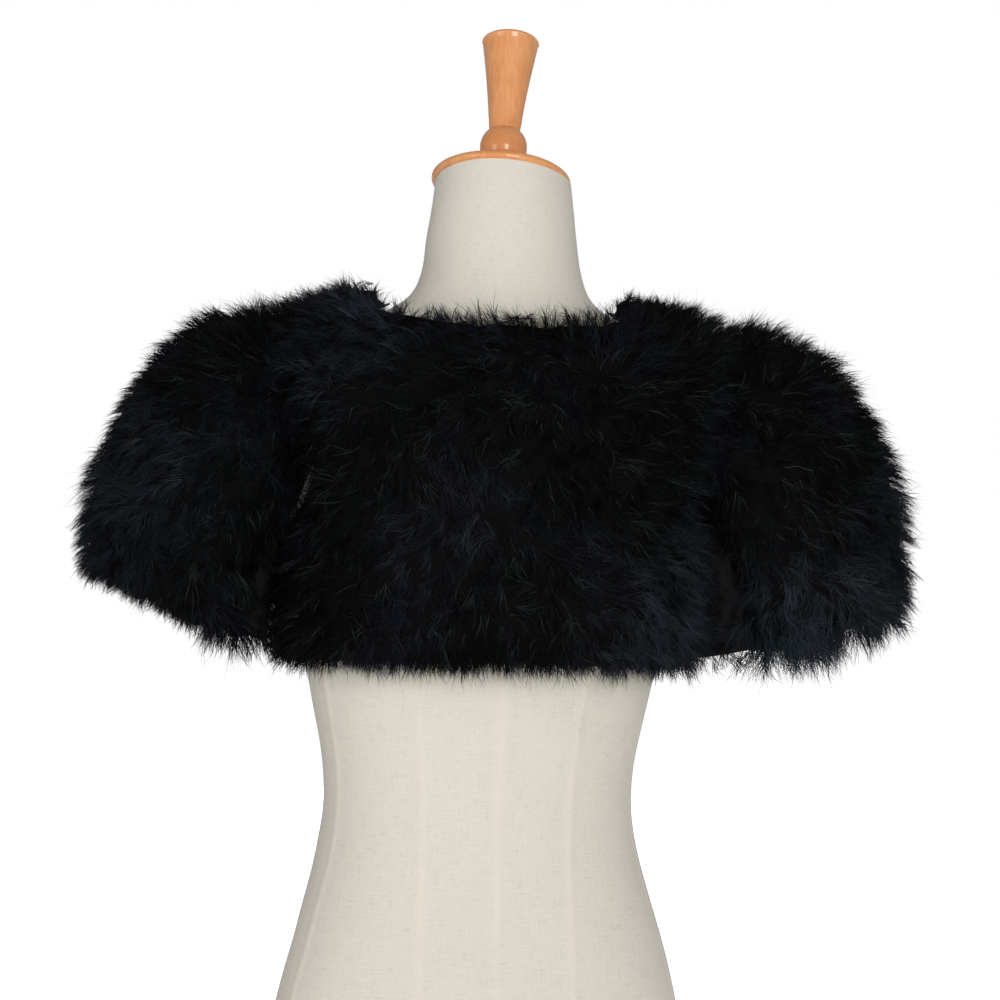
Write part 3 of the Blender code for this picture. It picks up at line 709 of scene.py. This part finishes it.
def nearness(points, place, spread):
    """1 at the place, falling off softly over the spread."""
    return np.exp(-((np.linalg.norm(points - place, axis=-1) / spread) ** 2))


def below(out):
    """1 on what faces straight down, to 0 on what faces sideways or up."""
    return np.clip(-out[:, 2], 0, 1)


def rounded_off(piece, times):
    """Softens the piece's corners: each point is drawn to the middle of its neighbours. Its open edges, and
    its sides, which have the second material slot, stay where they are."""
    points = points_of(piece)
    ends = np.array([e.vertices for e in piece.data.edges])
    ends = np.concatenate([ends, ends[:, ::-1]])
    uses = {}
    for face in piece.data.polygons:
        for key in face.edge_keys:
            uses[key] = uses.get(key, 0) + 1
    held = np.zeros(len(points), bool)
    held[[i for key, used in uses.items() if used == 1 for i in key]] = True
    held[[i for face in piece.data.polygons if face.material_index for i in face.vertices]] = True
    share = np.bincount(ends[:, 0], minlength=len(points))[:, None]
    for _ in range(times):
        total = np.zeros_like(points)
        np.add.at(total, ends[:, 0], points[ends[:, 1]])
        points = np.where(held[:, None], points, total / share)
    move_points(piece, points)
    return points


def thick_down(name, node, cloth, inside, beside, look):
    """The close, dark down next to the cloth, its tint set darker than the barbs' as painted shade between
    the tufts: the outside of the CAD node's reach, drawn in towards the cloth and made lumpy. Its sides,
    against the next panels' down, have the second material slot."""
    piece = skin_of(node, name, look)
    piece.data.materials.append(look)
    touching = [
        [any(tree.find_nearest(f.center, gap)[0] is not None for tree in group) for f in piece.data.polygons]
        for group, gap in ((inside, TOUCHING), (beside, ALONGSIDE))
    ]
    piece.data.polygons.foreach_set("material_index", np.array(touching[1], int))
    delete_faces(piece, touching[0])
    finished_with(piece, "SUBSURF", levels=2, render_levels=2, boundary_smooth="PRESERVE_CORNERS")
    points = rounded_off(piece, 8)
    thick = np.array([cloth.find_nearest(p)[3] for p in points])
    depth = (1 - DOWN_DEPTH) * np.minimum(thick, 30 * MM) * (1 - 0.8 * below(normals_of(piece)))
    depth -= sum(height * waves(points, length, seed) for length, seed, height in LUMPS)
    move_points(piece, points - normals_of(piece) * depth[:, None])
    return piece


def combed(base, out):
    """The direction that the plumes are combed at each base, never into the surface."""
    share = nearness(base[:, None], COMBED[:, 0], COMB_SPREAD) + 1e-9
    lie = unit((share[:, :, None] * COMBED[None, :, 1]).sum(axis=1) / share.sum(axis=1, keepdims=True))
    inwards = np.minimum((lie * out).sum(axis=1, keepdims=True), 0)
    return unit(lie - out * inwards)


def scattered(piece, spacing, draw):
    """Random places on a surface, none nearer to another than the spacing, and the way out of it at each.
    They are closer on what faces up or down, and fewer on the sides."""
    piece.data.calc_loop_triangles()
    points, normals = points_of(piece), normals_of(piece)
    corners = np.array([t.vertices for t in piece.data.loop_triangles])
    a, b, c = (points[corners[:, k]] for k in range(3))
    cross = np.cross(b - a, c - a)
    area = np.linalg.norm(cross, axis=1)
    sides = np.array([t.material_index for t in piece.data.loop_triangles])
    weight = area * (1 - 0.5 * sides)
    picked = draw.choice(len(area), size=20000, p=weight / weight.sum())
    u, v = np.sqrt(draw.random(len(picked))), draw.random(len(picked))
    shares = np.stack([1 - u, u * (1 - v), u * v], axis=1)[..., None]
    places = (points[corners[picked]] * shares).sum(axis=1)
    outs = unit((normals[corners[picked]] * shares).sum(axis=1))
    taken, kept = {}, []
    for i, cell in enumerate(map(tuple, np.floor(places / spacing).astype(int))):
        near = [
            j
            for x in (-1, 0, 1) for y in (-1, 0, 1) for z in (-1, 0, 1)
            for j in taken.get((cell[0] + x, cell[1] + y, cell[2] + z), ())
        ]
        room = (spacing * (1 - 0.25 * abs(outs[i, 2]) - 0.35 * max(-outs[i, 2], 0))) ** 2
        if not near or ((places[near] - places[i]) ** 2).sum(axis=1).min() > room:
            taken.setdefault(cell, []).append(i)
            kept.append(i)
    return places[kept], outs[kept]


def tufts_lie(base, out, draw):
    """The way each tuft sets off, the direction across it, and how its barbs curl. It is as combed, then
    swung aside in patches and raised out of the surface."""
    count = len(base)
    lie = combed(base, out)
    swing = np.radians(40) * waves(base, 0.045, 21) + np.radians(22) * waves(base, 0.016, 23)
    swing += draw.normal(0, 0.38, count)
    side = unit(np.cross(out, lie) + 1e-6)
    lie = lie * np.cos(swing)[:, None] + side * np.sin(swing)[:, None]
    side = unit(np.cross(out, lie) + 1e-6)
    rise = np.clip(0.55 + 0.25 * waves(base, 0.030, 22) + draw.normal(0, 0.25, count), 0.12, 1.3)
    way = unit(lie + out * rise[:, None])
    curl = side * draw.normal(0, 0.35, (count, 1)) + DOWN * 0.25 - out * 0.12
    return way, side, curl


def barb_corners(base, out, full, draw):
    """Five corners for each barb, in turn: two at its root, two at its bend, and its tip. The barbs of a tuft
    lie nearly side by side, spread a little, bend the same way and taper. Full is how long the tuft is."""
    way, side, curl = (vectors[:, None] for vectors in tufts_lie(base, out, draw))
    shape = (len(base), BARBS, 1)
    along = draw.random(shape) ** 1.3
    spread = draw.normal(0, 1.0, shape)
    reach = full * LIFT * draw.uniform(0.75, 1.25, len(base)) * (1 - 0.22 * below(out))
    for place, spread_over, times in LENGTHS:
        reach *= 1 + (times - 1) * nearness(base, place, spread_over)
    reach = reach[:, None, None]
    sunk = (ROOT_DEPTH + ROOT_DEPTH_BELOW * below(out))[:, None, None]
    out = out[:, None]
    root = base[:, None] - out * sunk + way * (along * 0.65 - 0.1) * reach
    root = root + side * draw.normal(0, 1.1, shape) * MM
    heading = unit(way + side * spread * 0.24 + out * draw.normal(0, 0.18, shape))
    length = reach * draw.uniform(0.75, 1.3, shape) * (1.15 - 0.35 * along)
    length = np.where(draw.random(shape) < 0.06, length * 1.35, length)
    width = BARB_WIDTH * draw.uniform(0.6, 1.2, shape)
    across = unit(np.cross(heading, out + draw.normal(0, 0.5, heading.shape))) * width
    middle = root + heading * length * 0.52
    onward = unit(heading + curl + side * spread * 0.18 + draw.normal(0, 0.10, heading.shape))
    tip = middle + onward * length * 0.55
    corners = [root - across / 2, root + across / 2, middle + across * 0.42, middle - across * 0.42, tip]
    points = np.stack(corners, axis=2).reshape(-1, 3)
    for origin, heading_out in LIMITS:
        past = np.maximum((points - origin) @ heading_out, 0)
        points = points - past[:, None] * 0.65 * heading_out
    return points


def barb_tints(base, draw):
    """The colour of each barb: the dyed colour of its tuft, lighter or darker, with bluer patches that are
    partly painted sheen, and some barbs painted pale as glints of light.
    """
    shape = (len(base), BARBS, 1)
    uneven = 1 + 0.4 * waves(base, 0.035, 34)
    blue = np.clip(0.75 * waves(base, 0.085, 31) + 0.25 * waves(base, 0.03, 33), 0, 1)
    shade = GROUND + (BLUER - GROUND) * blue[:, None]
    # Bluer, lighter patches: partly uneven dyeing, partly painted sheen.
    for place, spread_over, dye_and_sheen in DYE_AND_SHEEN:
        share = np.clip(nearness(base, place, spread_over) * uneven * 1.3, 0, 1)
        shade = shade + (np.array(colour(dye_and_sheen)[:3]) - shade) * share[:, None]
    shade = shade * draw.uniform(0.6, 1.5, (len(base), 1))
    tint = shade[:, None] * draw.uniform(0.3, 1.9, shape)
    # Painted glints: in some tufts about a third of the barbs, elsewhere a few, are painted pale as if they
    # caught the light.
    glint_share = np.where(draw.random((len(base), 1, 1)) < 0.18, 0.32, 0.03)
    pale = np.where(draw.random(shape) < glint_share, draw.uniform(0.15, 1.0, shape), 0.0)
    return tint + (GLINT - tint) * pale


def tufts(name, down, bare, spacing, seed, look):
    """Soft tufts of long fine barbs, rooted all over the down, and shorter ones on the bare cloth, as one
    mesh. Each barb is a quad from its root to its bend, and a triangle to its tip."""
    draw = np.random.default_rng(seed)
    base, out = scattered(down, spacing, draw)
    full = np.concatenate([np.ones(len(base)), np.full(len(bare[0]), SHORT_TUFT)])
    base, out = np.concatenate([base, bare[0]]), np.concatenate([out, bare[1]])
    points = barb_corners(base, out, full, draw)
    tints = np.repeat(barb_tints(base, draw).reshape(-1, 3), 5, axis=0)
    first = np.arange(0, len(points), 5)[:, None]
    quads, tris = first + np.array((0, 1, 2, 3)), first + np.array((3, 2, 4))

    barbs = bpy.data.meshes.new(name)
    barbs.vertices.add(len(points))
    barbs.vertices.foreach_set("co", points.ravel())
    loops = np.concatenate([quads.ravel(), tris.ravel()])
    barbs.loops.add(len(loops))
    barbs.loops.foreach_set("vertex_index", loops)
    starts = np.concatenate([np.arange(len(quads)) * 4, quads.size + np.arange(len(tris)) * 3])
    barbs.polygons.add(len(starts))
    barbs.polygons.foreach_set("loop_start", starts)
    barbs.update(calc_edges=True)
    barbs.materials.append(look)
    barbs.shade_smooth()
    piece = bpy.data.objects.new(name, barbs)
    bpy.context.scene.collection.objects.link(piece)
    note(piece, "tint", tints)
    return piece


def plumes(name, node, cloth, bare, inside, beside, spacing, seed, look):
    """The thick down with its tufts, as one piece."""
    down = thick_down(name + "_down", node, cloth, inside, beside, look)
    piece = tufts(name, down, bare, spacing, seed, look)
    down.data.polygons.foreach_set("material_index", [0] * len(down.data.polygons))
    down.data.materials.pop()
    down.data.shade_smooth()
    # Painted shade: the down is tinted at 0.4 of the ground colour, so the gaps between tufts read as deep
    # shade.
    note(down, "tint", np.repeat(GROUND[None] * 0.4, len(down.data.vertices), axis=0))
    only(piece)
    down.select_set(True)
    bpy.ops.object.join()
    return piece


# ---- Building it --------------------------------------------------------------------------------
place_camera()
bpy.context.scene.view_settings.view_transform = "Standard"
world = bpy.data.worlds.new("white_studio")
world.use_nodes = True
sky = world.node_tree
sky.nodes["Background"].inputs["Color"].default_value = (1, 1, 1, 1)
sky.links.new(seen_and_felt(sky, 1.0, 0.34), sky.nodes["Background"].inputs["Strength"])
bpy.context.scene.world = world
soft_box("left_window", (-1.80, -1.25, 0.75), (0, 0, 0.55), 0.7, 1.0, 9)
soft_box("right_window", (0.15, -2.20, 0.75), (0, 0, 0.55), 0.7, 1.0, 23.5)
soft_box("front_window", (0.50, 2.40, 0.60), (0, 0, 0.45), 1.2, 1.2, 16)
bpy.ops.object.select_all(action="DESELECT")
bpy.ops.mesh.primitive_plane_add(size=60, location=(0, 0, 0))
floor = bpy.context.active_object
floor.name = "floor"
floor.data.materials.append(pale_floor())

linen, wood, board = unbleached_linen(), varnished_wood(), beech_board()
cloth_look, plume_look = black_cloth(), black_plume()

torso = torso_cover(linen)
board_piece = base_board(board)
cap_middle = points_of(nodes["form_neck_cap"]).mean(axis=0)
neck_axis = unit(points_of(nodes["form_handle"]).mean(axis=0) - cap_middle)
cap = turned_on_lathe("neck_cap", "form_neck_cap", neck_axis, neck_cap_rows(), wood)
handle = turned_on_lathe("turned_handle", "form_handle", neck_axis, handle_rows(), wood)
for piece, node, slot in (
    (torso, "form_torso", "linen_cover"),
    (board_piece, "form_base_board", "beech_board"),
    (cap, "form_neck_cap", "varnished_wood"),
    (handle, "form_handle", "varnished_wood"),
):
    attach(piece, "root")
    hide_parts(node)

BARE_SPACING = 6.5 * MM  # between the tufts on bare cloth
# Name, cloth and feather nodes, the cut's width and length and its area, how it is held, the space between
# tufts in mm, and the random seed.
PANELS = [
    ("back", "back_panel", "feathers_back", (0.42, 0.27), 0.095, "draped", 5.65, 1),
    ("left_front", "front_left", "feathers_front_left", (0.17, 0.27), 0.034, "draped", 5.2, 2),
    ("right_front", "front_right", "feathers_front_right", (0.17, 0.27), 0.034, "draped", 5.2, 3),
    ("left_sleeve", "sleeve_left", "feathers_sleeve_left", (0.44, 0.20), 0.070, "hung", 5.0, 4),
    ("right_sleeve", "sleeve_right", "feathers_sleeve_right", (0.46, 0.23), 0.083, "hung", 5.5, 5),
]
trees = {node: tree_of(nodes[node]) for panel in PANELS for node in panel[1:3]}
trees["form_torso"] = tree_of(nodes["form_torso"])
for name, node, feathers, flat, area, held, spacing, seed in PANELS:
    spine = sleeve_spine(node.split("_")[1]) if node.startswith("sleeve") else BODY_SPINE
    cloth = cloth_shell(name + "_cloth", node, spine, cloth_look)
    places, outs = scattered(cloth, BARE_SPACING, np.random.default_rng(seed + 10))
    uncovered = [trees[feathers].find_nearest(place, 1.5 * MM)[0] is None for place in places]
    bare = places[uncovered], outs[uncovered]
    finished_with(cloth, "SOLIDIFY", thickness=CLOTH_THICK, offset=-1.0)
    only(cloth)
    bpy.ops.object.shade_smooth_by_angle(angle=math.radians(50))
    inside = [tree for other, tree in trees.items() if not other.startswith("feathers")]
    beside = [tree for other, tree in trees.items() if other.startswith("feathers") and other != feathers]
    down = plumes(
        name + "_plumes", feathers, trees[node], bare, inside, beside, spacing * MM, seed, plume_look
    )
    for piece, cad_node, slot in ((cloth, node, "black_base_cloth"), (down, feathers, "black_feather")):
        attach(piece, "root")
        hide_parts(cad_node)
